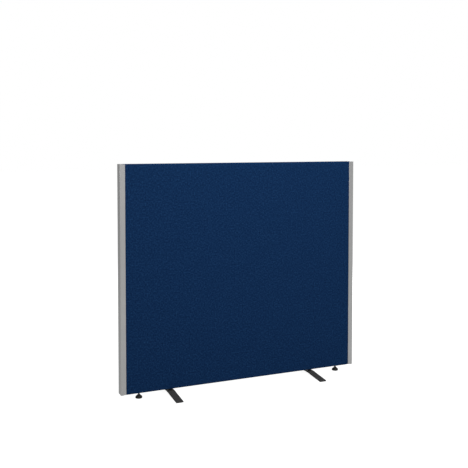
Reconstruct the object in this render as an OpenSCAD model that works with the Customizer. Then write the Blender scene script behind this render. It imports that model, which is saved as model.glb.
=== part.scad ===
// Acoustic divider screen, free-standing on two levelling glides and two flat stabiliser bars.
// Origin: on the floor, under the middle of the panel. X runs along the panel, the front faces -Y, Z is up.
// All lengths are in millimetres and all angles in degrees.

/* [Panel] */
// Length over the edge trims
panel_l = 1400; // [900:10:1800]
// Height of the upholstered panel
panel_h = 1200; // [800:10:1600]
// Thickness over the edge trims
panel_t = 50; // [46:1:60]
// Space between the floor and the underside of the panel
floor_gap = 31; // [30:0.5:36]

/* [Cover and felt] */
// Thickness of the woven cover
fabric_t = 1.2; // [0.8:0.1:1.6]
// Thickness of the felt under the cover
felt_t = 4.8; // [4:0.2:6]
// Bare strip underneath, between the cover's two turned-in edges
turn_gap = 12; // [8:1:14]
// Length along the panel over which the cover swells out of a trim
swell_l = 5; // [3:0.5:10]

/* [Staples] */
// Distance between staples along the underside
staple_pitch = 100; // [60:5:150]
// Width of a staple's crown
staple_w = 10; // [8:1:12]
// Length of a staple's legs
staple_l = 9; // [6:1:12]
// Thickness of the staple wire
staple_wire = 0.9; // [0.7:0.1:1.2]

/* [Timber frame] */
// Height of the top and bottom rails
rail_h = 45; // [40:1:60]
// Width of the left and right stiles
stile_w = 45; // [40:1:60]
// Width of the middle stile
mid_w = 45; // [40:1:60]
// Diameter of the frame screws
frame_screw_d = 5; // [4:0.5:6]
// Length of the frame screws
frame_screw_l = 70; // [60:5:100]
// Diameter of the frame screws' countersunk heads
frame_head_d = 10; // [8:0.5:11]

/* [Infill] */
// Thickness of the sound-blocking board
board_t = 4; // [3:0.5:6]
// Depth of the grooves that hold the board
groove_d = 6; // [4:0.5:8]

/* [Edge trims] */
// Width of a trim's front and back faces
trim_face = 28; // [24:1:36]
// Wall of the extrusion
trim_wall = 1.8; // [1.5:0.1:2.2]
// Depth from a trim's outer face to the panel's edge
trim_chamber = 15; // [13:0.5:18]
// Radius of a trim's corners
trim_r = 1; // [0.5:0.1:1.4]
// Mouth of the linking slot
slot_mouth = 10; // [8:0.5:11]
// Width of the linking slot behind its lips
slot_w = 16; // [14:0.5:18]
// Thickness of an end cap's plate
cap_t = 1.5; // [1:0.1:2.5]
// Length of an end cap's plugs
plug_l = 12; // [8:1:20]
// Diameter of the trim screws
trim_screw_d = 4; // [3.5:0.5:4.5]
// Length of the trim screws
trim_screw_l = 30; // [25:1:35]
// Diameter of the trim screws' pan heads
trim_head_d = 8; // [7:0.5:9]
// Height of the trim screws' pan heads
trim_head_h = 2.6; // [2:0.1:3]

/* [Threads and inserts] */
// Diameter of the studs and bolts
thread_d = 8; // [7:0.5:8]
// Width across flats of the hexagons
hex_af = 13; // [12:0.5:14]
// Diameter of the threaded inserts' sleeves
insert_d = 12; // [11:0.5:13]
// Length of the threaded inserts' sleeves
insert_l = 25; // [20:1:28]
// Diameter of the threaded inserts' flanges
insert_flange_d = 20; // [18:0.5:22]

/* [Glides] */
// Distance of a glide from the panel's end
glide_inset = 102; // [98:1:130]
// Diameter of a glide's rim
glide_d = 36.6; // [32:0.2:40]
// Height of a glide's rim
rim_h = 5.5; // [4:0.5:7]
// Height of a glide's moulded base
glide_h = 15.2; // [13.6:0.2:16]
// Diameter of the base where it ends under the hexagon
neck_d = 19.6; // [18:0.2:22]
// Height of the hexagon on the stud
stud_hex_h = 5; // [4:0.5:6]
// How far a glide screws up from where it stands
glide_up = 5; // [2:0.5:5]
// How far a glide screws down from where it stands
glide_down = 12; // [5:1:13]
// Length of stud that is still inside the panel when the glide is right down
stud_hold = 9; // [8:0.5:11]

/* [Stabiliser bars] */
// Distance of a bar's centre from the panel's end
bar_inset = 275; // [260:5:400]
// Length of a bar between the points where it touches the floor
bar_l = 320; // [300:10:360]
// Width of a bar
bar_w = 40; // [30:1:50]
// Thickness of a bar
bar_t = 5; // [4:0.5:6]
// Slope of a bar's arms
bar_rise = 5.5; // [4.75:0.25:6.5]
// Length of a bar's level middle
bar_flat = 28; // [26:2:60]
// Radius of a bar's corners
bar_tip_r = 3; // [1:0.5:8]
// Outer diameter of the spacer above a bar
spacer_d = 20; // [18:0.5:24]
// Outer diameter of the washer under a bar
washer_d = 20; // [17:0.5:22]
// Thickness of the washer under a bar
washer_t = 1.6; // [1:0.1:2]
// Height of the bolt's head
bolt_head_h = 5.3; // [4:0.1:6]
// Length of bolt above the panel's underside
bolt_in = 20; // [16:1:24]

/* [Hidden] */
// Extra length that carries a cut past the face it opens
over = 1;
// Gap between the trims and what they grip
trim_fit = 0.2;
// Gap round felt and absorbers
soft_fit = 0.2;
// Gap on each side of the board in its grooves
board_fit = 0.1;
// Gap between the board's edges and the bottom of its grooves
board_end_fit = 0.5;
// Gap round a wood screw, a staple's legs and an insert
wood_fit = 0.05;
// Gap round a trim's cover strip and round the caps' plugs
snap_fit = 0.15;
// Gap between a stud or bolt and the thread of its insert
thread_fit = 0.05;
// Gap between a bolt and the bar that turns on it
pivot_fit = 0.08;
// Gap between a bar's faces and the spacer and washer it turns against
swivel_gap = 0.1;
// Gap between a bolt and the plain holes of its spacer and washer
hole_fit = 0.2;
// Depth of a countersunk head
frame_head_h = 4.2;
// Inner leg of a cover strip: thickness, length, and the hook's reach and height
leg_t = 1.2;
leg_l = 5;
hook_reach = 1.4;
hook_h = 2;
// The foot of a stud, held in the base: diameter, height and the plastic under it
stud_foot_d = 12;
stud_foot_h = 3;
base_floor_t = 2.4;
// Gap round the stud and its foot inside the base
stud_fit = 0.08;
// Level gap between the base and the hexagon above it
hex_gap = 0.3;
// Free depth above the highest place that a stud or bolt reaches
stud_room = 3;
// Bevel under a glide's rim
rim_bevel = 1;
// Steps round a glide's shoulder
shoulder_steps = 8;
// Distance of the outermost staples and of the staple rows from the cover's edges
staple_margin = 45;
staple_edge = 7;
// Height of the corner screws, as a share of the rail's height
corner_screw_share = 0.5;
// Wood left between the corner screws and the inserts that they pass
screw_clear = 1.5;
// Where the middle stile's screws sit, as shares of its width
mid_screw_shares = [-0.25, 0.25];
// Where the trim screws sit, as shares of the panel's height
trim_screw_shares = [0.07, 0.285, 0.5, 0.715, 0.93];

$fn = 48;

z_bot = floor_gap;
z_top = z_bot + panel_h;
end_x = panel_l/2;
seat_x = end_x - trim_chamber;
trim_in_x = end_x - trim_face;
core_x = seat_x - trim_fit;
stile_x = core_x - fabric_t;
rail_x = stile_x - stile_w;
channel_y = panel_t/2 - trim_wall;
frame_y = panel_t/2 - felt_t - fabric_t;
rail_top_z = z_top - fabric_t;
rail_bot_z = z_bot + fabric_t;
corner_screw_y = (insert_d + frame_screw_d)/2 + screw_clear;
bay_z = [rail_bot_z + rail_h, rail_top_z - rail_h];
groove_w = board_t + 2*board_fit;
board_in = groove_d - board_end_fit;
glide_x = end_x - glide_inset;
bar_x = end_x - bar_inset;
bar_z = (bar_l - bar_flat)/2*tan(bar_rise);
bar_top_z = bar_z + bar_t;
stud_in = glide_down + stud_hold;
staple_count = 1 + floor(2*(core_x - staple_margin)/staple_pitch);
staple_y = turn_gap/2 + staple_edge;

// Shared shapes

// A box between its lowest and highest corners.
module box(low, high) {
    translate(low) cube(high - low);
}

// A rectangle centred on the origin with four round corners.
module round_rect(size, r) {
    square([size.x - 2*r, size.y], center = true);
    square([size.x, size.y - 2*r], center = true);
    for (x = [-1, 1], y = [-1, 1])
        translate([x*(size.x/2 - r), y*(size.y/2 - r)]) circle(r);
}

// A round bar along Z from z0 to z1.
module rod(d, z0, z1) {
    translate([0, 0, z0]) cylinder(h = z1 - z0, d = d);
}

// A hexagon bar along Z from z0 to z1, measured across its flats.
module hex_rod(af, z0, z1) {
    translate([0, 0, z0]) cylinder(h = z1 - z0, d = af/cos(30), $fn = 6);
}

// Puts a shape on the left or right, which are the sides -1 and 1 of the panel's middle.
module on_side(side) {
    mirror([side < 0 ? 1 : 0, 0, 0]) children();
}

// A wood screw along +Z with its countersunk head's face at zero; grow widens it into its own bore.
module countersunk_screw(grow = 0) {
    rod(frame_screw_d + 2*grow, 0, frame_screw_l + grow);
    cylinder(h = frame_head_h, d1 = frame_head_d + 2*grow, d2 = frame_screw_d + 2*grow);
    if (grow > 0) rod(frame_head_d + 2*grow, -over, grow);
}

// Places a shape at each frame screw: two in each corner, which pass beside the inserts,
// and two through each rail into the middle stile.
module at_frame_screws() {
    rise = corner_screw_share*rail_h;
    for (side = [-1, 1], face = [-1, 1], z = [rail_bot_z + rise, rail_top_z - rise])
        translate([side*stile_x, face*corner_screw_y, z]) rotate([0, -90*side, 0]) children();
    for (share = mid_screw_shares) {
        translate([share*mid_w, 0, rail_bot_z]) children();
        translate([share*mid_w, 0, rail_top_z]) rotate([180, 0, 0]) children();
    }
}

// Places a shape at each trim screw of one side, with +Z pointing into the panel.
module at_trim_screws(side) {
    for (share = trim_screw_shares)
        translate([side*(seat_x + trim_wall), 0, z_bot + share*panel_h])
            rotate([0, -90*side, 0]) children();
}

// Places a shape at each staple of the two rows under the bottom rail.
module at_staples() {
    for (row = [-1, 1], i = [0 : staple_count - 1])
        translate([(i - (staple_count - 1)/2)*staple_pitch, row*staple_y, z_bot]) children();
}

// The two legs of a staple; grow widens them into their own slots.
module staple_legs(grow = 0) {
    for (end = [-1, 1])
        translate([end*(staple_w - staple_wire)/2, 0, 0])
            box([-staple_wire/2 - grow, -staple_wire/2 - grow, -grow],
                [staple_wire/2 + grow, staple_wire/2 + grow, staple_l + grow]);
}

// The bore that an insert and its stud or bolt take in the bottom rail.
module insert_bore(reach) {
    rod(insert_d + 2*wood_fit, rail_bot_z - over, rail_bot_z + insert_l + wood_fit);
    rod(thread_d + 2*over, rail_bot_z, z_bot + reach + stud_room);
}

// Timber frame

module rail_groove(z0, z1) {
    box([-rail_x - over, -groove_w/2, z0], [rail_x + over, groove_w/2, z1]);
}

module top_rail() {
    color("burlywood") difference() {
        box([-rail_x, -frame_y, rail_top_z - rail_h], [rail_x, frame_y, rail_top_z]);
        rail_groove(rail_top_z - rail_h - over, rail_top_z - rail_h + groove_d);
        at_frame_screws() countersunk_screw(wood_fit);
    }
}

module bottom_rail() {
    color("burlywood") difference() {
        box([-rail_x, -frame_y, rail_bot_z], [rail_x, frame_y, rail_bot_z + rail_h]);
        rail_groove(rail_bot_z + rail_h - groove_d, rail_bot_z + rail_h + over);
        at_frame_screws() countersunk_screw(wood_fit);
        at_staples() staple_legs(wood_fit);
        for (side = [-1, 1]) {
            translate([side*glide_x, 0, 0]) insert_bore(stud_in + glide_up);
            translate([side*bar_x, 0, 0]) insert_bore(bolt_in);
        }
    }
}

module side_stile(side) {
    color("tan") difference() {
        on_side(side) difference() {
            box([rail_x, -frame_y, rail_bot_z], [stile_x, frame_y, rail_top_z]);
            box([rail_x - over, -groove_w/2, bay_z[0] - groove_d],
                [rail_x + groove_d, groove_w/2, bay_z[1] + groove_d]);
        }
        at_frame_screws() countersunk_screw(wood_fit);
        at_trim_screws(side) trim_screw(wood_fit);
    }
}

module left_stile() { side_stile(-1); }

module right_stile() { side_stile(1); }

module middle_stile() {
    color("tan") difference() {
        box([-mid_w/2, -frame_y, bay_z[0]], [mid_w/2, frame_y, bay_z[1]]);
        for (side = [-1, 1])
            on_side(side)
                box([mid_w/2 - groove_d, -groove_w/2, bay_z[0] - over],
                    [mid_w/2 + over, groove_w/2, bay_z[1] + over]);
        at_frame_screws() countersunk_screw(wood_fit);
    }
}

module frame_screws() {
    color("goldenrod") at_frame_screws() countersunk_screw();
}

// Infill

module barrier_board(side) {
    color("sienna") on_side(side)
        box([mid_w/2 - board_in, -board_t/2, bay_z[0] - board_in],
            [rail_x + board_in, board_t/2, bay_z[1] + board_in]);
}

module left_barrier_board() { barrier_board(-1); }

module right_barrier_board() { barrier_board(1); }

// One absorber slab: side is left or right, face is front (-1) or back (1).
module absorber(side, face) {
    color("lightgray") on_side(side) mirror([0, face < 0 ? 1 : 0, 0])
        box([mid_w/2 + soft_fit, board_t/2 + soft_fit, bay_z[0] + soft_fit],
            [rail_x - soft_fit, frame_y, bay_z[1] - soft_fit]);
}

module front_left_absorber() { absorber(-1, -1); }

module front_right_absorber() { absorber(1, -1); }

module back_left_absorber() { absorber(-1, 1); }

module back_right_absorber() { absorber(1, 1); }

// Cover and felt

// One corner of the upholstered body's plan, from the trim's seat to the swell, at a depth under its face.
function plan_corner(depth) = [
    [core_x - depth, channel_y - trim_fit - depth],
    [trim_in_x, channel_y - trim_fit - depth],
    [trim_in_x - swell_l, panel_t/2 - depth]
];

// The upholstered body at a depth under the cover's face: full between the trims, pinched inside them.
module upholstered_body(depth) {
    corner = plan_corner(depth);
    flipped = [corner[2], corner[1], corner[0]];
    outline = concat(corner, [for (p = flipped) [-p.x, p.y]],
        [for (p = corner) [-p.x, -p.y]], [for (p = flipped) [p.x, -p.y]]);
    intersection() {
        translate([0, 0, z_bot]) linear_extrude(panel_h) polygon(outline);
        translate([-end_x, 0, z_bot + panel_h/2]) rotate([90, 0, 90]) linear_extrude(panel_l)
            round_rect([panel_t - 2*depth, panel_h - 2*depth], fabric_t + felt_t - depth);
    }
}

module felt(face) {
    color("gainsboro") intersection() {
        upholstered_body(fabric_t + soft_fit);
        mirror([0, face < 0 ? 1 : 0, 0]) box([-end_x, frame_y, z_bot], [end_x, panel_t, z_top]);
    }
}

module front_felt() { felt(-1); }

module back_felt() { felt(1); }

module fabric_cover() {
    color([0.07, 0.18, 0.33]) difference() {
        upholstered_body(0);
        upholstered_body(fabric_t);
        box([-stile_x, -turn_gap/2, z_bot - over], [stile_x, turn_gap/2, z_bot + panel_h/2]);
        for (x = [-glide_x, -bar_x, bar_x, glide_x])
            translate([x, 0, 0]) rod(insert_flange_d + 2*soft_fit, z_bot - over, rail_bot_z + over);
        at_staples() staple_legs(wood_fit);
        for (side = [-1, 1]) at_trim_screws(side) trim_screw(wood_fit);
    }
}

module cover_staples() {
    color("silver") at_staples() {
        staple_legs();
        box([-staple_w/2, -staple_wire/2, -staple_wire], [staple_w/2, staple_wire/2, 0]);
    }
}

// Edge trims

// A pan-head screw along +Z whose head stands on zero; grow widens it into its own bore.
module trim_screw(grow = 0) {
    rod(trim_screw_d + 2*grow, grow > 0 ? -over : 0, trim_screw_l + grow);
    if (grow == 0) rod(trim_head_d, -trim_head_h, 0);
}

// Outer outline of the right-hand trim.
module trim_outline() {
    translate([end_x - trim_face/2, 0]) round_rect([trim_face, panel_t], trim_r);
}

// The two closed chambers beside the linking slot; shrink leaves room round a plug.
module trim_chambers(shrink = 0) {
    low = [seat_x + trim_wall + shrink, slot_w/2 + trim_wall + shrink];
    high = [end_x - trim_wall - shrink, channel_y - shrink];
    for (face = [-1, 1])
        mirror([0, face < 0 ? 1 : 0]) translate(low) square(high - low);
}

module trim_section() {
    difference() {
        trim_outline();
        translate([trim_in_x - over, -channel_y]) square([seat_x - trim_in_x + over, 2*channel_y]);
        translate([seat_x + trim_wall, -slot_w/2]) square([trim_chamber - 2*trim_wall, slot_w]);
        translate([end_x - trim_wall - over, -slot_mouth/2]) square([trim_wall + 2*over, slot_mouth]);
        trim_chambers();
    }
}

module edge_trim(side) {
    color([0.62, 0.62, 0.62]) difference() {
        on_side(side) translate([0, 0, z_bot + cap_t]) linear_extrude(panel_h - 2*cap_t) trim_section();
        at_trim_screws(side) trim_screw(wood_fit);
    }
}

module left_edge_trim() { edge_trim(-1); }

module right_edge_trim() { edge_trim(1); }

module left_trim_screws() { color("silver") at_trim_screws(-1) trim_screw(); }

module right_trim_screws() { color("silver") at_trim_screws(1) trim_screw(); }

// A cover strip's section: the face between the slot's lips and two legs that hook behind the lips.
module strip_section() {
    half = slot_mouth/2 - snap_fit;
    lip_x = end_x - trim_wall - snap_fit;
    leg_x = end_x - trim_wall - leg_l;
    upper = [
        [end_x, half], [lip_x, half], [lip_x, half + hook_reach], [lip_x - hook_h, half], [leg_x, half],
        [leg_x, half - leg_t], [end_x - trim_wall, half - leg_t]
    ];
    polygon(concat(upper, [for (i = [len(upper) - 1 : -1 : 0]) [upper[i].x, -upper[i].y]]));
}

module cover_strip(side) {
    color([0.6, 0.6, 0.6]) on_side(side)
        translate([0, 0, z_bot + cap_t]) linear_extrude(panel_h - 2*cap_t) strip_section();
}

module left_cover_strip() { cover_strip(-1); }

module right_cover_strip() { cover_strip(1); }

// A cap for the top of the right-hand trim: a plate over its outer part and two plugs in its chambers.
module top_cap() {
    translate([0, 0, z_top - cap_t]) linear_extrude(cap_t) intersection() {
        trim_outline();
        translate([seat_x, -panel_t/2]) square([trim_chamber, panel_t]);
    }
    translate([0, 0, z_top - cap_t - plug_l]) linear_extrude(plug_l) trim_chambers(snap_fit);
}

// The same cap at the top (end 1) or bottom (end -1) of a side's trim.
module end_cap(side, end) {
    color([0.58, 0.58, 0.58]) on_side(side)
        if (end > 0) top_cap();
        else translate([0, 0, z_bot + z_top]) mirror([0, 0, 1]) top_cap();
}

module left_top_cap() { end_cap(-1, 1); }

module left_bottom_cap() { end_cap(-1, -1); }

module right_top_cap() { end_cap(1, 1); }

module right_bottom_cap() { end_cap(1, -1); }

// Threaded inserts

module threaded_insert(x) {
    color("darkgoldenrod") translate([x, 0, 0]) difference() {
        union() {
            rod(insert_flange_d, z_bot, rail_bot_z);
            rod(insert_d, rail_bot_z, rail_bot_z + insert_l);
        }
        rod(thread_d + 2*thread_fit, z_bot - over, rail_bot_z + insert_l + over);
    }
}

module left_glide_insert() { threaded_insert(-glide_x); }

module right_glide_insert() { threaded_insert(glide_x); }

module left_bar_insert() { threaded_insert(-bar_x); }

module right_bar_insert() { threaded_insert(bar_x); }

// Glides

// Outline of a glide's base from its flat underside over the rim to the neck.
module glide_profile() {
    shoulder = [for (i = [0 : shoulder_steps])
        let (turn = 90*i/shoulder_steps)
            [glide_d/2 - (glide_d - neck_d)/2*(1 - cos(turn)), rim_h + (glide_h - rim_h)*i/shoulder_steps]];
    polygon(concat([[0, 0], [glide_d/2 - rim_bevel, 0], [glide_d/2, rim_bevel]], shoulder, [[0, glide_h]]));
}

module glide_base(x) {
    color([0.13, 0.13, 0.13]) translate([x, 0, 0]) difference() {
        rotate_extrude() glide_profile();
        rod(stud_foot_d + 2*stud_fit, base_floor_t, base_floor_t + stud_foot_h + 2*stud_fit);
        rod(thread_d + 2*stud_fit, base_floor_t, glide_h + over);
    }
}

module left_glide_base() { glide_base(-glide_x); }

module right_glide_base() { glide_base(glide_x); }

module glide_stud(x) {
    color([0.2, 0.2, 0.2]) translate([x, 0, 0]) {
        rod(stud_foot_d, base_floor_t + stud_fit, base_floor_t + stud_fit + stud_foot_h);
        rod(thread_d, base_floor_t + stud_fit, z_bot + stud_in);
        hex_rod(hex_af, glide_h + hex_gap, glide_h + hex_gap + stud_hex_h);
    }
}

module left_glide_stud() { glide_stud(-glide_x); }

module right_glide_stud() { glide_stud(glide_x); }

// Stabiliser bars

// Side view of a bar: a level middle and two arms that slope down to the floor.
module bar_profile() {
    tip_rise = bar_t*cos(bar_rise);
    tip_lean = bar_t*sin(bar_rise);
    elbow = bar_flat/2 + bar_t*tan(bar_rise/2);
    half = [[bar_flat/2, bar_z], [bar_l/2, 0], [bar_l/2 + tip_lean, tip_rise], [elbow, bar_top_z]];
    polygon(concat(half, [for (i = [len(half) - 1 : -1 : 0]) [-half[i].x, half[i].y]]));
}

module stabiliser_bar(x) {
    reach = bar_l/2 + bar_t*sin(bar_rise);
    color([0.16, 0.16, 0.16]) translate([x, 0, 0]) difference() {
        intersection() {
            translate([-bar_w/2, 0, 0]) rotate([90, 0, 90]) linear_extrude(bar_w) bar_profile();
            translate([0, 0, -over]) linear_extrude(bar_top_z + 2*over)
                round_rect([bar_w, 2*reach], bar_tip_r);
        }
        rod(thread_d + 2*pivot_fit, bar_z - over, bar_top_z + over);
    }
}

module left_stabiliser_bar() { stabiliser_bar(-bar_x); }

module right_stabiliser_bar() { stabiliser_bar(bar_x); }

// A ring round a bolt between two heights.
module bolt_ring(x, d, z0, z1) {
    translate([x, 0, 0]) difference() {
        rod(d, z0, z1);
        rod(thread_d + 2*hole_fit, z0 - over, z1 + over);
    }
}

module bar_spacer(x) {
    color([0.25, 0.25, 0.25]) bolt_ring(x, spacer_d, bar_top_z + swivel_gap, z_bot);
}

module left_bar_spacer() { bar_spacer(-bar_x); }

module right_bar_spacer() { bar_spacer(bar_x); }

module bar_washer(x) {
    color("silver") bolt_ring(x, washer_d, bar_z - swivel_gap - washer_t, bar_z - swivel_gap);
}

module left_bar_washer() { bar_washer(-bar_x); }

module right_bar_washer() { bar_washer(bar_x); }

module bar_bolt(x) {
    head_top = bar_z - swivel_gap - washer_t;
    color("dimgray") translate([x, 0, 0]) {
        hex_rod(hex_af, head_top - bolt_head_h, head_top);
        rod(thread_d, head_top - bolt_head_h/2, z_bot + bolt_in);
    }
}

module left_bar_bolt() { bar_bolt(-bar_x); }

module right_bar_bolt() { bar_bolt(bar_x); }

top_rail();
bottom_rail();
left_stile();
right_stile();
middle_stile();
frame_screws();
left_barrier_board();
right_barrier_board();
front_left_absorber();
front_right_absorber();
back_left_absorber();
back_right_absorber();
front_felt();
back_felt();
fabric_cover();
cover_staples();
left_edge_trim();
right_edge_trim();
left_trim_screws();
right_trim_screws();
left_cover_strip();
right_cover_strip();
left_top_cap();
left_bottom_cap();
right_top_cap();
right_bottom_cap();
left_glide_insert();
right_glide_insert();
left_glide_base();
right_glide_base();
left_glide_stud();
right_glide_stud();
left_bar_insert();
right_bar_insert();
left_stabiliser_bar();
right_stabiliser_bar();
left_bar_spacer();
right_bar_spacer();
left_bar_washer();
right_bar_washer();
left_bar_bolt();
right_bar_bolt();
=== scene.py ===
"""The looks of an acoustic divider screen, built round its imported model.

Every length is in metres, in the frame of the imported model: X runs along the panel, the front
faces -Y and Z is up from the floor. Each sub-assembly is a class with its own sizes, and each
finish is a frozen dataclass that builds one material.
"""

import logging
import math
from abc import ABC, abstractmethod
from dataclasses import dataclass, field
from enum import Enum
from typing import Iterable, Mapping, Sequence

import bpy
import numpy as np
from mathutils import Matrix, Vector, noise

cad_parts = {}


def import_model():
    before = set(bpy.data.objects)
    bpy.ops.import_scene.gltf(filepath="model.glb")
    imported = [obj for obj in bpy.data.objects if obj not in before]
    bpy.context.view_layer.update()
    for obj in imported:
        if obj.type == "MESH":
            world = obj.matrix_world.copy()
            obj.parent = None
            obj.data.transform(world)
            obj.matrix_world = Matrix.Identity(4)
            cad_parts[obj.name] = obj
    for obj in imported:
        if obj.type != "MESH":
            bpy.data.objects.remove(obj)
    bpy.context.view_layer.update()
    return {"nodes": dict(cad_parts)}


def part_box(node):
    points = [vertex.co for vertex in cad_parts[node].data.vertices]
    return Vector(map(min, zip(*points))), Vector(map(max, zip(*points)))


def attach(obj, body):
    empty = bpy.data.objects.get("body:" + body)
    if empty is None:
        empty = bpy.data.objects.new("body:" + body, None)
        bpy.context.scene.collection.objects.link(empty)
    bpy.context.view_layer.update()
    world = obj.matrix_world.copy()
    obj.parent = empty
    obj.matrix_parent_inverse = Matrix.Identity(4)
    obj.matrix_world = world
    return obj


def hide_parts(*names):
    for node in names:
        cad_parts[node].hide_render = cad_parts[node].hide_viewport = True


LOG = logging.getLogger("divider_screen")
MM = 0.001

Colour = tuple[float, float, float]
Holder = bpy.types.Material | bpy.types.World
Source = bpy.types.NodeSocket | float | tuple[float, ...]
Faces = list[tuple[int, ...]]


class Side(Enum):
    """The two ends of the screen, as the sign of their X."""

    LEFT = -1
    RIGHT = 1

    @property
    def word(self) -> str:
        """The side's name as the nodes have it."""
        return self.name.lower()


class Face(Enum):
    """The two large faces of the screen, as the sign of their Y."""

    FRONT = -1
    BACK = 1

    @property
    def word(self) -> str:
        """The face's name as the nodes have it."""
        return self.name.lower()


class Head(Enum):
    """The form of a wood screw's head, as how far its face bulges, in shares of its radius."""

    COUNTERSUNK = 0.0
    PAN = 0.24


class Grain(Enum):
    """The way the wood's grain runs, as how finely each axis cuts across it."""

    ALONG_X = (0.05, 1.0, 1.0)
    ALONG_Z = (1.0, 1.0, 0.05)


# Materials


class Graph:
    """The node tree of one material or world, built a node at a time."""

    def __init__(self, holder: Holder) -> None:
        """Starts an empty tree.

        Args:
            holder: The new material or world that it belongs to.
        """
        self.holder = holder
        self.holder.use_nodes = True
        self._tree = self.holder.node_tree
        self._tree.nodes.clear()

    def add(self, kind: str, inputs: Mapping[str | int, Source], **settings: object) -> bpy.types.Node:
        """Adds a node.

        Args:
            kind: The node's type, without the words ShaderNode.
            inputs: What each input takes: another node's output, or a value.
            **settings: The node's own settings.

        Returns:
            The node.
        """
        node = self._tree.nodes.new("ShaderNode" + kind)
        for key, value in settings.items():
            setattr(node, key, value)
        for key, value in inputs.items():
            self.feed(node.inputs[key], value)
        return node

    def feed(self, socket: bpy.types.NodeSocket, value: Source) -> None:
        """Links an output to a socket, or sets the socket's own value.

        Args:
            socket: The input socket.
            value: An output socket, a number, a vector or a colour.
        """
        if isinstance(value, bpy.types.NodeSocket):
            self._tree.links.new(value, socket)
        elif socket.type == "RGBA" and len(value) == 3:
            socket.default_value = (*value, 1.0)
        else:
            socket.default_value = value

    def place(self) -> bpy.types.NodeSocket:
        """Returns the point on the piece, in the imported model's frame."""
        return self.add("TexCoord", {}).outputs["Object"]

    def attribute(self, name: str) -> bpy.types.NodeSocket:
        """Returns a vector that the mesh carries under that name."""
        return self.add("Attribute", {}, attribute_name=name).outputs["Vector"]

    def scaled(self, vector: Source, scale: tuple[float, float, float],
               turn: tuple[float, float, float] = (0.0, 0.0, 0.0)) -> bpy.types.NodeSocket:
        """Returns a vector turned about each axis, in radians, and then scaled on it."""
        node = self.add("Mapping", {"Vector": vector, "Rotation": turn, "Scale": scale}, vector_type="POINT")
        return node.outputs["Vector"]

    def grain(self, vector: Source, scale: float, detail: float = 2.0,
              roughness: float = 0.5) -> bpy.types.NodeSocket:
        """Returns noise from about 0 to 1, with some cells per metre and finer layers of some strength."""
        inputs = {"Vector": vector, "Scale": scale, "Detail": detail, "Roughness": roughness}
        return self.add("TexNoise", inputs).outputs["Fac"]

    def sum(self, operation: str, first: Source, second: Source = 0.0,
            third: Source = 0.0) -> bpy.types.NodeSocket:
        """Returns what the Math node's operation makes of one, two or three numbers."""
        node = self.add("Math", {0: first, 1: second, 2: third}, operation=operation)
        return node.outputs["Value"]

    def ranged(self, value: Source, low: float, high: float, to_low: float,
               to_high: float) -> bpy.types.NodeSocket:
        """Returns a number moved from the range low to high into to_low to to_high and kept inside it."""
        inputs = {"Value": value, "From Min": low, "From Max": high, "To Min": to_low, "To Max": to_high}
        return self.add("MapRange", inputs).outputs["Result"]

    def grey(self, tone: Source) -> bpy.types.NodeSocket:
        """Returns the grey of that tone."""
        return self.add("CombineColor", {0: tone, 1: tone, 2: tone}).outputs[0]

    def blend(self, share: Source, first: Source, second: Source, mode: str = "MIX") -> bpy.types.NodeSocket:
        """Returns a mix of two colours, by the Mix node's blend type and the second one's share."""
        node = self.add("Mix", {0: share, 6: first, 7: second}, data_type="RGBA", blend_type=mode)
        return node.outputs[2]

    def ramp(self, value: Source, stops: Sequence[tuple[float, Colour]]) -> bpy.types.NodeSocket:
        """Returns the colour that a number picks from a row of colours.

        Args:
            value: The number, from 0 to 1.
            stops: Each colour's place in the row and the colour.

        Returns:
            The colour's socket.
        """
        node = self.add("ValToRGB", {"Fac": value})
        elements = node.color_ramp.elements
        while len(elements) < len(stops):
            elements.new(1.0)
        for element, (position, colour) in zip(elements, stops):
            element.position = position
            element.color = (*colour, 1.0)
        return node.outputs["Color"]

    def relief(self, height: Source, depth: float, strength: float = 1.0,
               normal: bpy.types.NodeSocket | None = None) -> bpy.types.NodeSocket:
        """Returns the surface's normal with a fine relief on it.

        Args:
            height: The relief, from 0 to 1.
            depth: The relief's depth in metres.
            strength: How much of it shows.
            normal: A normal that already has a relief.

        Returns:
            The normal's socket.
        """
        inputs: dict[str | int, Source] = {"Height": height, "Distance": depth, "Strength": strength}
        if normal is not None:
            inputs["Normal"] = normal
        return self.add("Bump", inputs).outputs["Normal"]

    def finish(self, shader: bpy.types.Node) -> Holder:
        """Makes a shader the whole surface.

        Args:
            shader: The shader's node.

        Returns:
            The finished material or world.
        """
        kind = "World" if isinstance(self.holder, bpy.types.World) else "Material"
        self.add("Output" + kind, {"Surface": shader.outputs[0]})
        return self.holder


@dataclass(frozen=True)
class Finish(ABC):
    """A surface finish, which makes its material once."""

    name: str

    @abstractmethod
    def surface(self, graph: Graph) -> bpy.types.Node:
        """Builds the finish in an empty material and returns its shader's node."""

    def material(self) -> bpy.types.Material:
        """Makes the finish's material the first time, and finds it after that.

        Returns:
            The material.
        """
        found = bpy.data.materials.get(self.name)
        if found is not None:
            return found
        graph = Graph(bpy.data.materials.new(self.name))
        return graph.finish(self.surface(graph))


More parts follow.
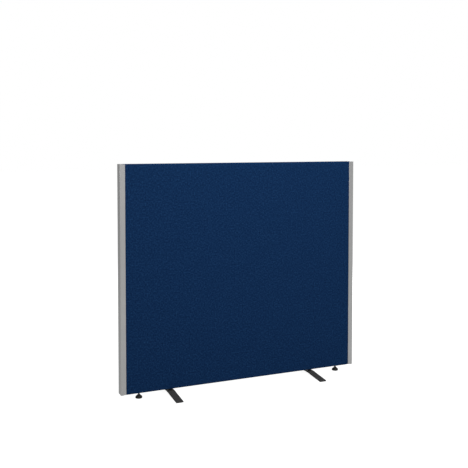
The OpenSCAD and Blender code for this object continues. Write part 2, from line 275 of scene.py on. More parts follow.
@dataclass(frozen=True)
class WovenCloth(Finish):
    """A plain-woven wool cloth of heathered yarns, read from the cloth's own flat place."""

    dark: Colour
    middle: Colour
    light: Colour
    pitch: float = 1.1 * MM
    yarn_height: float = 0.22 * MM

    def surface(self, graph: Graph) -> bpy.types.Node:
        """Builds the weave, its heathering, its mottle and a painted shade in the crevices between the yarns.

        Args:
            graph: The empty material's graph.

        Returns:
            The shader's node.
        """
        flat = graph.attribute("cloth_place")
        wobble = graph.grain(flat, 260.0, 2.0)
        parts = graph.add("SeparateXYZ", {"Vector": flat})
        turn = math.pi/self.pitch
        waves = []
        for axis in ("X", "Y"):
            phase = graph.sum("MULTIPLY_ADD", parts.outputs[axis], turn, graph.sum("MULTIPLY", wobble, 1.6))
            waves.append(graph.sum("SINE", phase))
        cell = graph.sum("MULTIPLY", waves[0], waves[1])
        warp_on_top = graph.sum("GREATER_THAN", cell, 0.0)
        crown = graph.sum("POWER", graph.sum("ABSOLUTE", cell), 0.5)
        warp = graph.grain(graph.scaled(flat, (1.0/self.pitch, 0.07/self.pitch, 1.0)), 0.9, 2.0)
        weft = graph.grain(graph.scaled(flat, (0.07/self.pitch, 1.0/self.pitch, 1.0)), 0.9, 2.0)
        yarn = graph.add("Mix", {0: warp_on_top, 2: weft, 3: warp}, data_type="FLOAT").outputs[0]
        mottle = graph.grain(flat, 125.0, 1.5, 0.6)
        cloud = graph.grain(flat, 12.0, 1.0)
        uneven = graph.sum("MULTIPLY_ADD", mottle, 0.62, graph.sum("MULTIPLY", cloud, 0.04))
        tone = graph.sum("MULTIPLY_ADD", yarn, 0.34, uneven)
        colour = graph.ramp(tone, ((0.30, self.dark), (0.5, self.middle), (0.70, self.light)))
        # Painted shade: the yarn colour is darkened where the yarns dip under each other, standing in for
        # shade in the weave's crevices.
        painted_crevice_shade = graph.grey(graph.ranged(crown, 0.0, 0.8, 0.72, 1.0))
        crevice_shaded = graph.blend(1.0, colour, painted_crevice_shade, "MULTIPLY")
        fluff = graph.grain(graph.place(), 5200.0, 3.0, 0.7)
        normal = graph.relief(fluff, 0.5*self.yarn_height, 0.35, graph.relief(crown, self.yarn_height, 0.8))
        rough = graph.ranged(fluff, 0.3, 0.7, 0.84, 0.97)
        return graph.add("BsdfPrincipled", {
            "Base Color": crevice_shaded, "Roughness": rough, "Normal": normal,
            "Specular IOR Level": 0.03, "Sheen Weight": 0.06, "Sheen Roughness": 0.5,
            "Sheen Tint": (0.12, 0.35, 1.0, 1.0)})


@dataclass(frozen=True)
class Fibres(Finish):
    """A mat of loose or needled fibres that lie every way."""

    dark: Colour
    light: Colour
    fibre: float = 0.25 * MM
    loft: float = 0.3 * MM

    def surface(self, graph: Graph) -> bpy.types.Node:
        """Builds crossing layers of fibres.

        Args:
            graph: The empty material's graph.

        Returns:
            The shader's node.
        """
        place = graph.place()
        strands: bpy.types.NodeSocket | None = None
        for turn in (0.3, 1.2, 2.2):
            fineness = (1.0/self.fibre, 1.0/self.fibre, 0.05/self.fibre)
            lie = graph.scaled(place, fineness, (0.2*turn, turn, 0.0))
            layer = graph.grain(lie, 0.35, 2.0, 0.6)
            strands = layer if strands is None else graph.sum("MAXIMUM", strands, layer)
        patches = graph.grain(place, 60.0, 3.0)
        tone = graph.sum("MULTIPLY_ADD", strands, 0.85, graph.sum("MULTIPLY", patches, 0.15))
        colour = graph.ramp(tone, ((0.40, self.dark), (0.72, self.light)))
        normal = graph.relief(strands, self.loft, 0.7)
        return graph.add("BsdfPrincipled", {
            "Base Color": colour, "Roughness": graph.ranged(strands, 0.4, 0.8, 0.86, 0.98), "Normal": normal,
            "Specular IOR Level": 0.2, "Sheen Weight": 0.25, "Sheen Roughness": 0.6})


@dataclass(frozen=True)
class PowderCoat(Finish):
    """A sprayed and baked coat with a fine grain, and a slow wave from the metal under it."""

    colour: Colour
    roughness: float
    metallic: float = 0.0
    grain_size: float = 0.35 * MM
    grain_depth: float = 0.012 * MM
    drawn: tuple[float, float, float] = (1.0, 1.0, 1.0)
    gloss: float = 0.25
    edge_gloss: float = 1.0

    def surface(self, graph: Graph) -> bpy.types.Node:
        """Builds the coat, its grain and its drift of tone.

        Args:
            graph: The empty material's graph.

        Returns:
            The shader's node.
        """
        place = graph.place()
        grain = graph.grain(graph.scaled(place, self.drawn), 1.0/self.grain_size, 2.0, 0.6)
        drift = graph.grain(place, 14.0, 2.0)
        deep = tuple(0.95*c for c in self.colour)
        pale = tuple(1.05*c for c in self.colour)
        tone = graph.sum("MULTIPLY_ADD", grain, 0.6, graph.sum("MULTIPLY", drift, 0.4))
        colour = graph.ramp(tone, ((0.3, deep), (0.7, pale)))
        rough = graph.ranged(grain, 0.25, 0.75, self.roughness - 0.06, self.roughness + 0.06)
        return graph.add("BsdfPrincipled", {
            "Base Color": colour, "Roughness": rough, "Metallic": self.metallic,
            "Normal": graph.relief(grain, self.grain_depth, 0.5), "Specular IOR Level": self.gloss,
            "Specular Tint": (self.edge_gloss,)*3})


@dataclass(frozen=True)
class MouldedPlastic(Finish):
    """A moulded plastic with a spark-eroded texture and small scuffs."""

    colour: Colour
    roughness: float
    texture: float = 0.28 * MM
    scuffed: Colour = (0.2, 0.2, 0.2)

    def surface(self, graph: Graph) -> bpy.types.Node:
        """Builds the plastic, its texture and its scuffs.

        Args:
            graph: The empty material's graph.

        Returns:
            The shader's node.
        """
        place = graph.place()
        pits = graph.grain(place, 1.0/self.texture, 3.0, 0.55)
        streaks = graph.grain(graph.scaled(place, (160.0, 1300.0, 900.0), (0.5, 0.9, 0.2)), 1.0, 3.0, 0.7)
        scuffs = graph.ranged(streaks, 0.66, 0.8, 0.0, 0.35)
        deep = tuple(0.85*c for c in self.colour)
        pale = tuple(1.12*c for c in self.colour)
        colour = graph.blend(scuffs, graph.ramp(pits, ((0.3, deep), (0.7, pale))), self.scuffed)
        rough = graph.sum("ADD", graph.ranged(pits, 0.3, 0.7, self.roughness - 0.05, self.roughness + 0.05),
                          graph.sum("MULTIPLY", scuffs, 0.3))
        return graph.add("BsdfPrincipled", {
            "Base Color": colour, "Roughness": rough, "Normal": graph.relief(pits, 0.03 * MM, 0.6),
            "Specular IOR Level": 0.12})


@dataclass(frozen=True)
class PlatedSteel(Finish):
    """Plated or blackened steel with turning marks, small stains and a dull bloom."""

    colour: Colour
    stain: Colour
    roughness: float
    metallic: float = 1.0

    def surface(self, graph: Graph) -> bpy.types.Node:
        """Builds the steel, its bloom and its turning marks.

        Args:
            graph: The empty material's graph.

        Returns:
            The shader's node.
        """
        place = graph.place()
        bloom = graph.grain(place, 330.0, 4.0, 0.6)
        marks = graph.grain(graph.scaled(place, (300.0, 300.0, 4200.0)), 1.0, 2.0, 0.6)
        colour = graph.ramp(bloom, ((0.32, self.stain), (0.58, self.colour)))
        rough = graph.sum("MULTIPLY_ADD", bloom, 0.22, self.roughness - 0.1)
        return graph.add("BsdfPrincipled", {
            "Base Color": colour, "Metallic": self.metallic,
            "Roughness": graph.sum("MULTIPLY_ADD", marks, 0.08, rough),
            "Normal": graph.relief(marks, 0.012 * MM, 0.5)})


@dataclass(frozen=True)
class Pine(Finish):
    """Planed softwood with growth rings, fine pores and a few knots."""

    early: Colour
    late: Colour
    knot: Colour
    grain: Grain

    def surface(self, graph: Graph) -> bpy.types.Node:
        """Builds the wood's rings, knots and pores.

        Args:
            graph: The empty material's graph.

        Returns:
            The shader's node.
        """
        along = graph.scaled(graph.place(), self.grain.value)
        bend = graph.grain(along, 11.0, 2.0)
        taper = graph.grain(along, 2.6, 1.0)
        spots = graph.add("TexVoronoi", {"Vector": along, "Scale": 9.0}, feature="F1").outputs["Distance"]
        knots = graph.ranged(spots, 0.05, 0.16, 1.0, 0.0)
        parts = graph.add("SeparateXYZ", {"Vector": along})
        across = graph.sum("ADD", parts.outputs["X" if self.grain is Grain.ALONG_Z else "Z"],
                           graph.sum("MULTIPLY", parts.outputs["Y"], 0.4))
        wander = graph.sum("MULTIPLY_ADD", taper, 0.28, graph.sum("MULTIPLY", knots, 0.01))
        swirl = graph.sum("MULTIPLY_ADD", bend, 0.05, wander)
        rings = graph.sum("SINE", graph.sum("MULTIPLY", graph.sum("ADD", across, swirl), 950.0))
        band = graph.sum("POWER", graph.ranged(rings, -0.9, 1.0, 0.0, 1.0), 1.8)
        pores = graph.grain(along, 1500.0, 3.0, 0.6)
        tone = graph.sum("MULTIPLY_ADD", band, 0.6, graph.sum("MULTIPLY", pores, 0.4))
        wood = graph.ramp(tone, ((0.12, self.early), (0.9, self.late)))
        colour = graph.blend(knots, wood, self.knot)
        return graph.add("BsdfPrincipled", {
            "Base Color": colour, "Roughness": graph.ranged(band, 0.0, 1.0, 0.68, 0.54),
            "Normal": graph.relief(pores, 0.03 * MM, 0.6), "Specular IOR Level": 0.35})


@dataclass(frozen=True)
class Hardboard(Finish):
    """Pressed hardboard: a brown face flecked with short fibres."""

    dark: Colour
    light: Colour

    def surface(self, graph: Graph) -> bpy.types.Node:
        """Builds the board's flecks and its clouds of tone.

        Args:
            graph: The empty material's graph.

        Returns:
            The shader's node.
        """
        place = graph.place()
        flecks = graph.grain(graph.scaled(place, (700.0, 700.0, 260.0), (0.0, 0.6, 0.0)), 1.0, 4.0, 0.65)
        clouds = graph.grain(place, 22.0, 3.0)
        tone = graph.sum("MULTIPLY_ADD", flecks, 0.7, graph.sum("MULTIPLY", clouds, 0.3))
        colour = graph.ramp(tone, ((0.36, self.dark), (0.62, self.light)))
        return graph.add("BsdfPrincipled", {
            "Base Color": colour, "Roughness": graph.ranged(flecks, 0.3, 0.7, 0.42, 0.6),
            "Normal": graph.relief(flecks, 0.06 * MM, 0.5), "Specular IOR Level": 0.4})


WHITE = (1.0, 1.0, 1.0)
NAVY_CLOTH = WovenCloth("navy_wool_weave", (0.0018, 0.0115, 0.047), (0.0053, 0.0262, 0.085),
                        (0.0125, 0.05, 0.14))
WHITE_FELT = Fibres("needled_felt", (0.60, 0.60, 0.57), (0.80, 0.80, 0.77))
FIBRE_SLAB = Fibres("bonded_fibre", (0.42, 0.43, 0.43), (0.72, 0.72, 0.70), 0.35 * MM, 0.6 * MM)
GREY_TRIM = PowderCoat("satin_grey_coat", (0.305, 0.305, 0.305), 0.36, 0.70, drawn=(1.0, 1.0, 0.3),
                       gloss=0.1, edge_gloss=0.62)
GREY_STRIP = PowderCoat("satin_grey_strip", (0.295, 0.295, 0.295), 0.4, 0.70, 0.25 * MM,
                        gloss=0.1, edge_gloss=0.62)
GREY_CAP = PowderCoat("satin_grey_cap", (0.295, 0.295, 0.295), 0.4, 0.70, 0.3 * MM,
                      gloss=0.1, edge_gloss=0.62)
BLACK_COAT = PowderCoat("black_powder_coat", (0.051, 0.0505, 0.05), 0.6, grain_depth=0.03 * MM, gloss=0.04)
BLACK_PLASTIC = MouldedPlastic("moulded_black", (0.017, 0.017, 0.017), 0.6, scuffed=(0.03, 0.03, 0.03))
BLACK_STEEL = PlatedSteel("blackened_steel", (0.055, 0.055, 0.058), (0.03, 0.028, 0.026), 0.42, 0.85)
ZINC = PlatedSteel("bright_zinc", (0.62, 0.63, 0.64), (0.46, 0.47, 0.48), 0.34)
YELLOW_ZINC = PlatedSteel("yellow_zinc", (0.66, 0.52, 0.25), (0.55, 0.50, 0.40), 0.36)
RAIL_PINE = Pine("rail_pine", (0.66, 0.46, 0.25), (0.47, 0.27, 0.11), (0.17, 0.08, 0.03), Grain.ALONG_X)
STILE_PINE = Pine("stile_pine", (0.66, 0.46, 0.25), (0.47, 0.27, 0.11), (0.17, 0.08, 0.03), Grain.ALONG_Z)
BROWN_BOARD = Hardboard("brown_hardboard", (0.070, 0.034, 0.014), (0.160, 0.085, 0.038))


# Meshes


@dataclass
class Shape:
    """Points and faces of one mesh, with any value that each point carries."""

    points: np.ndarray
    faces: Faces

    def piece(self, name: str, finish: Finish, body: str, slot: str, crease: float = 40.0,
              carried: Mapping[str, np.ndarray] | None = None) -> bpy.types.Object:
        """Makes the shape a piece of the screen that rides on a body.

        Args:
            name: The piece's name.
            finish: Its finish.
            body: The body it moves with.
            slot: The record's material slot for it; not used.
            crease: The angle in degrees past which an edge stays sharp.
            carried: Vectors that the points carry, by name.

        Returns:
            The piece.
        """
        mesh = bpy.data.meshes.new(name)
        mesh.from_pydata(self.points.tolist(), [], self.faces)
        mesh.polygons.foreach_set("use_smooth", [True]*len(mesh.polygons))
        mesh.set_sharp_from_angle(angle=math.radians(crease))
        for key, values in (carried or {}).items():
            held = mesh.attributes.new(key, "FLOAT_VECTOR", "POINT")
            held.data.foreach_set("vector", values.astype(np.float32).ravel())
        mesh.materials.append(finish.material())
        mesh.validate()
        obj = bpy.data.objects.new(name, mesh)
        bpy.context.scene.collection.objects.link(obj)
        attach(obj, body)
        LOG.info("%s: %d faces on %s", name, len(self.faces), body)
        return obj

    def joined(self, others: Iterable["Shape"]) -> "Shape":
        """Joins this shape and others into one mesh of separate shells.

        Args:
            others: The other shapes.

        Returns:
            The joined shape.
        """
        points, faces, count = [self.points], list(self.faces), len(self.points)
        for other in others:
            faces += [tuple(i + count for i in face) for face in other.faces]
            points.append(other.points)
            count += len(other.points)
        return Shape(np.concatenate(points), faces)

    def laid(self, start: Vector, along: Vector) -> "Shape":
        """Returns an upright shape turned so that its Z runs along a direction from a start."""
        turn = np.array(Vector((0.0, 0.0, 1.0)).rotation_difference(along).to_matrix())
        return Shape(self.points @ turn.T + np.array(start), self.faces)


def grid_faces(rows: int, columns: int, loop_rows: bool = False, loop_columns: bool = False) -> Faces:
    """Lists the four-sided faces of a grid of points.

    Args:
        rows: How many rows the grid has.
        columns: How many points are in each row.
        loop_rows: Whether the last row joins the first.
        loop_columns: Whether each row closes on itself.

    Returns:
        The faces, each turned the way that rows and then columns run.
    """
    faces: Faces = []
    for i in range(rows if loop_rows else rows - 1):
        low, high = i*columns, (i + 1) % rows*columns
        for j in range(columns if loop_columns else columns - 1):
            k = (j + 1) % columns
            faces.append((low + j, low + k, high + k, high + j))
    return faces


def slab(across: np.ndarray, up: np.ndarray, near: np.ndarray, far: np.ndarray) -> Shape:
    """Builds a closed sheet between two faces that look along Y.

    Args:
        across: The X of each column of points.
        up: The Z of each row of points.
        near: The Y of the face nearer -Y at each row and column.
        far: The Y of the other face.

    Returns:
        The closed shape.
    """
    rows, columns = len(up), len(across)
    xs, zs = np.meshgrid(across, up)
    points = np.concatenate([np.stack([xs, ys, zs], -1).reshape(-1, 3) for ys in (near, far)])
    count = rows*columns
    front = grid_faces(rows, columns)
    faces = front + [tuple(i + count for i in reversed(face)) for face in front]
    rim = (list(range(columns)) + [i*columns + columns - 1 for i in range(1, rows)]
           + [(rows - 1)*columns + j for j in range(columns - 2, -1, -1)]
           + [i*columns for i in range(rows - 2, 0, -1)])
    for a, b in zip(rim, rim[1:] + rim[:1]):
        faces.append((b, a, a + count, b + count))
    return Shape(points, faces)


def spread(low: float, high: float, edge: float, step: float, edge_points: int = 4) -> np.ndarray:
    """Spreads stations over a length, closer together in its two rounded edges.

    Args:
        low: Where the length starts.
        high: Where it ends.
        edge: The width of each rounded edge.
        step: The distance between stations elsewhere.
        edge_points: How many stations each edge has.

    Returns:
        The stations in order.
    """
    turn = np.linspace(0.0, math.pi/2, edge_points + 1)[:-1]
    rise = edge*(1.0 - np.cos(turn))
    middle = np.linspace(low + edge, high - edge, max(2, round((high - low - 2*edge)/step) + 1))
    return np.concatenate([low + rise, middle, (high - rise)[::-1]])


def rounding(stations: np.ndarray, edge: float) -> np.ndarray:
    """Returns how full a rounded edge is at each station, from 0 at the end to 1 inside it."""
    inside = np.minimum(stations - stations[0], stations[-1] - stations)
    return np.sqrt(np.clip(1.0 - (1.0 - np.clip(inside/edge, 0.0, 1.0))**2, 0.0, 1.0))


def ripple(x: float, z: float, scale: float, seed: float) -> float:
    """Returns smooth noise from about -1 to 1 at a place on the panel's face, by waves per metre and seed."""
    return noise.noise(Vector((x*scale, z*scale, seed)))


@dataclass
class Turned:
    """A piece turned about an upright axis, drawn ring by ring, with threads and hexagons on the way."""

    segments: int = 48
    rings: list[np.ndarray] = field(default_factory=list)

    @property
    def angles(self) -> np.ndarray:
        """The angle of each point of a ring, in radians."""
        return np.arange(self.segments)*math.tau/self.segments

    def ring(self, radius: float | np.ndarray, height: float | np.ndarray) -> "Turned":
        """Adds a ring, its radius and height the same all round or given for each angle."""
        self.rings.append(np.stack(np.broadcast_arrays(radius, height, self.angles)[:2], -1))
        return self

    def profile(self, *points: tuple[float, float]) -> "Turned":
        """Adds plain rings.

        Args:
            *points: The radius and height of each.

        Returns:
            The piece itself.
        """
        for radius, height in points:
            self.ring(radius, height)
        return self

    def arc(self, centre: tuple[float, float], radius: float, start: float, end: float,
            steps: int = 5) -> "Turned":
        """Adds rings along a round edge.

        Args:
            centre: The arc's centre, as radius and height.
            radius: The arc's own radius.
            start: Its first angle in degrees, from outward towards up.
            end: Its last angle.
            steps: How many stretches it has.

        Returns:
            The piece itself.
        """
        for angle in np.radians(np.linspace(start, end, steps + 1)):
            self.ring(centre[0] + radius*math.cos(angle), centre[1] + radius*math.sin(angle))
        return self

    def hexagon(self, flats: float, bottom: float, top: float, chamfered: tuple[bool, bool]) -> "Turned":
        """Adds a hexagon whose ends can have the turned chamfer that real ones have.

        Args:
            flats: The width across its flats.
            bottom: Its lowest height.
            top: Its highest height.
            chamfered: Whether the bottom and the top are chamfered.

        Returns:
            The piece itself.
        """
        sixth = math.pi/3
        side = flats/2/np.cos((self.angles + sixth/2) % sixth - sixth/2)
        face, slope = 0.475*flats, math.sqrt(3)
        corner = (flats/math.sqrt(3) - face)/slope
        depths = np.linspace(0.0, corner, 5)
        for depth in depths if chamfered[0] else (0.0,):
            self.ring(np.minimum(side, face + slope*depth) if chamfered[0] else side, bottom + depth)
        for depth in depths[::-1] if chamfered[1] else (0.0,):
            self.ring(np.minimum(side, face + slope*depth) if chamfered[1] else side, top - depth)
        return self

    def thread(self, outer: float, depth: float, pitch: float, bottom: float, top: float,
               steps: int = 6, crest: float = 0.2) -> "Turned":
        """Adds a screw thread that fades in and out over its first and last turn.

        Args:
            outer: The radius of its crests.
            depth: How deep it is cut.
            pitch: The rise of one turn.
            bottom: Its lowest height.
            top: Its highest height.
            steps: How many rings each turn has.
            crest: The share of the pitch that the crest's flat takes.

        Returns:
            The piece itself.
        """
        count = max(2, round((top - bottom)/pitch*steps))
        for i in range(count + 1):
            height = bottom + (top - bottom)*i/count
            phase = (height/pitch - self.angles/math.tau) % 1.0
            ridge = np.clip((0.5 - np.abs(phase - 0.5))*2.0/(1.0 - crest), 0.0, 1.0)
            fade = min(1.0, (height - bottom)/pitch, (top - height)/pitch)
            self.ring(outer - depth*(1.0 - ridge)*fade - 0.35*depth*(1.0 - fade), height)
        return self

    def recessed_face(self, radius: float, bulge: float, depth: float) -> "Turned":
        """Adds a screw head's face, looking down from height 0, with a cross recess sunk up into it.

        Args:
            radius: The face's radius.
            bulge: How far its rim stands back from its middle.
            depth: The recess's depth at its middle.

        Returns:
            The piece itself.
        """
        for share in (0.06, 0.12, 0.2, 0.28, 0.36, 0.44, 0.52, 0.6, 0.68, 0.85, 1.0):
            off_wing = np.abs(np.sin(2.0*self.angles))/2.0*share
            wing = np.clip(2.6 - off_wing/0.055, 0.0, 1.0)
            sunk = depth*wing*min(1.0, max(0.0, (0.62 - share)/0.42))
            self.ring(share*radius, bulge*share**2 + sunk)
        return self

    def shape(self, x: float, y: float, z: float = 0.0, closed: bool = False) -> Shape:
        """Makes the mesh.

        Args:
            x: The axis's place along the panel.
            y: The axis's place across it.
            z: What is added to each height.
            closed: Whether the last ring joins the first, as on a washer.

        Returns:
            The shape, with its ends closed.
        """
        rings = np.array(self.rings)
        points = np.stack([x + rings[..., 0]*np.cos(self.angles), y + rings[..., 0]*np.sin(self.angles),
                           z + rings[..., 1]], -1)
        faces = grid_faces(len(rings), self.segments, closed, True)
        flat = points.reshape(-1, 3)
        if not closed:
            last = (len(rings) - 1)*self.segments
            tips = np.array([points[0].mean(0), points[-1].mean(0)])
            bottom, top = len(flat), len(flat) + 1
            flat = np.concatenate([flat, tips])
            for i in range(self.segments):
                k = (i + 1) % self.segments
                faces += [(k, i, bottom), (last + i, last + k, top)]
        return Shape(flat, faces)


def loose_pieces(node: bpy.types.Object) -> list[np.ndarray]:
    """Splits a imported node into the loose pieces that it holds.

    Args:
        node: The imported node.

    Returns:
        The points of each piece.
    """
    points = np.array([vertex.co for vertex in node.data.vertices])
    first: dict[tuple[int, ...], int] = {}
    keys = np.round(points/(0.01*MM)).astype(int).tolist()
    root = [first.setdefault(tuple(key), i) for i, key in enumerate(keys)]

    def top(i: int) -> int:
        """Follows a point to the one that stands for its whole piece.

        Args:
            i: The point's number.

        Returns:
            The number of the point that stands for the piece.
        """
        while root[i] != i:
            i = root[i]
        return i

    for polygon in node.data.polygons:
        head, *others = [top(i) for i in polygon.vertices]
        for other in others:
            root[top(other)] = head
    pieces: dict[int, list[int]] = {}
    for i in range(len(points)):
        pieces.setdefault(top(i), []).append(i)
    return [points[members] for members in pieces.values()]


@dataclass
class WoodScrews:
    """Wood screws with threads and cross recesses, one where each packed screw is."""

    nodes: Mapping[str, bpy.types.Object]
    segments: int = 20
    tip: float = 4.0 * MM

    def screw(self, points: np.ndarray, head: Head, pitch: float, plain: float) -> Shape:
        """Draws one screw in place of a packed one.

        Args:
            points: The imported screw's points.
            head: The form of its head.
            pitch: The rise of one turn of its thread.
            plain: The share of the shank that has no thread.

        Returns:
            The screw.
        """
        low, high = points.min(0), points.max(0)
        axis = int(np.argmax(high - low))
        middle, length = (low + high)/2, high[axis] - low[axis]
        reach = np.linalg.norm(np.delete(points - middle, axis, 1), axis=1)
        widest = points[np.argmax(reach), axis]
        way = 1.0 if widest < middle[axis] else -1.0
        along = np.sort(np.abs(points[:, axis] - (low[axis] if way > 0 else high[axis])))
        neck = float(along[along > 0.1 * MM][0])
        radius = float(reach[np.abs(points[:, axis] - widest) > neck + 0.1 * MM].max())
        wide = float(reach.max())
        bulge = head.value*wide
        start, direction = middle.copy(), np.zeros(3)
        start[axis], direction[axis] = (low[axis] if way > 0 else high[axis]), way
        shank = neck + plain*(length - neck)
        turned = Turned(self.segments).recessed_face(0.9*wide, 0.8*bulge, 0.42*wide)
        if head is Head.PAN:
            turned.profile((wide, bulge + 0.15*wide), (wide, neck - 0.1*wide), (0.94*wide, neck))
        else:
            turned.profile((wide, 0.05*wide), (wide, 0.12*wide))
        turned.profile((radius, neck), (0.86*radius, neck + 0.6*radius), (0.86*radius, shank))
        turned.thread(radius, 0.34*radius, pitch, shank + 0.2 * MM, length - self.tip, 5, 0.08)
        turned.profile((0.5*radius, length - 0.6*self.tip), (0.05*radius, length))
        return turned.shape(0.0, 0.0).laid(Vector(start), Vector(direction))

    def build(self, node: str, finish: Finish, slot: str, head: Head, pitch: float, plain: float) -> None:
        """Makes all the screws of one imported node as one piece.

        Args:
            node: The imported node.
            finish: The screws' finish.
            slot: Their material slot in the record.
            head: The form of their heads.
            pitch: The rise of one turn of their threads.
            plain: The share of each shank that has no thread.
        """
        screws = [self.screw(points, head, pitch, plain) for points in loose_pieces(self.nodes[node])]
        piece = screws[0].joined(screws[1:]).piece(f"{node}_threaded", finish, "panel", slot, 35.0)
        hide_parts(node)


@dataclass
class Staples:
    """The wire staples that hold the turned-in cloth under the bottom rail."""

    nodes: Mapping[str, bpy.types.Object]
    wire: float = 0.9 * MM
    bend: float = 0.9 * MM
    sides: int = 8

    def staple(self, points: np.ndarray) -> Shape:
        """Bends one staple from wire in place of a packed one.

        Args:
            points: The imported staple's points.

        Returns:
            The staple.
        """
        low, high = points.min(0), points.max(0)
        half = self.wire/2
        reach, crown = (high[0] - low[0])/2 - half, low[2] + half
        turns = np.radians(np.linspace(0.0, 90.0, 5))
        corner = [(-reach + self.bend*(1.0 - math.sin(a)), crown + self.bend*(1.0 - math.cos(a)))
                  for a in turns]
        leg = [(-reach, high[2], 0.25), (-reach, high[2] - 1.2 * MM, 1.0)]
        left = leg + [(x, z, 1.0) for x, z in corner[::-1]]
        way = left + [(-x, z, full) for x, z, full in reversed(left)]
        rings = []
        for i, (x, z, full) in enumerate(way):
            (x0, z0, _), (x1, z1, _) = way[max(0, i - 1)], way[min(len(way) - 1, i + 1)]
            across = Vector((z0 - z1, 0.0, x1 - x0)).normalized()
            for k in range(self.sides):
                angle = math.tau*(k + 0.5)/self.sides
                out, side = half*math.cos(angle)*full, half*math.sin(angle)
                rings.append(((low[0] + high[0])/2 + x + across.x*out, (low[1] + high[1])/2 + side,
                              z + across.z*out))
        faces = grid_faces(len(way), self.sides, False, True)
        last = (len(way) - 1)*self.sides
        faces += [tuple(range(self.sides))[::-1], tuple(range(last, last + self.sides))]
        return Shape(np.array(rings), faces)

    def build(self) -> None:
        """Makes all the staples as one piece."""
        staples = [self.staple(points) for points in loose_pieces(self.nodes["cover_staples"])]
        piece = staples[0].joined(staples[1:]).piece("cover_staples_bent", ZINC, "panel", "staple_wire", 35.0)
        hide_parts("cover_staples")


@dataclass
class Dresser:
    """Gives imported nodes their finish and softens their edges, and leaves their meshes alone."""

    nodes: Mapping[str, bpy.types.Object]

    def dress(self, names: Iterable[str], finish: Finish, edge: float) -> None:
        """Finishes some nodes.

        Args:
            names: The nodes.
            finish: Their finish.
            edge: The width of the bevel on their sharp edges, in metres.
        """
        for name in names:
            node = self.nodes[name]
            for slot in node.material_slots:
                slot.link = "OBJECT"
                slot.material = finish.material()
            weld = node.modifiers.new("welded", "WELD")
            weld.merge_threshold = 0.01 * MM
            bevel = node.modifiers.new("soft_edges", "BEVEL")
            bevel.width = edge
            bevel.segments = 2
            bevel.limit_method = "ANGLE"
            bevel.angle_limit = math.radians(35.0)
            bevel.harden_normals = True
            LOG.info("%s: dressed in %s", name, finish.name)


# The panel


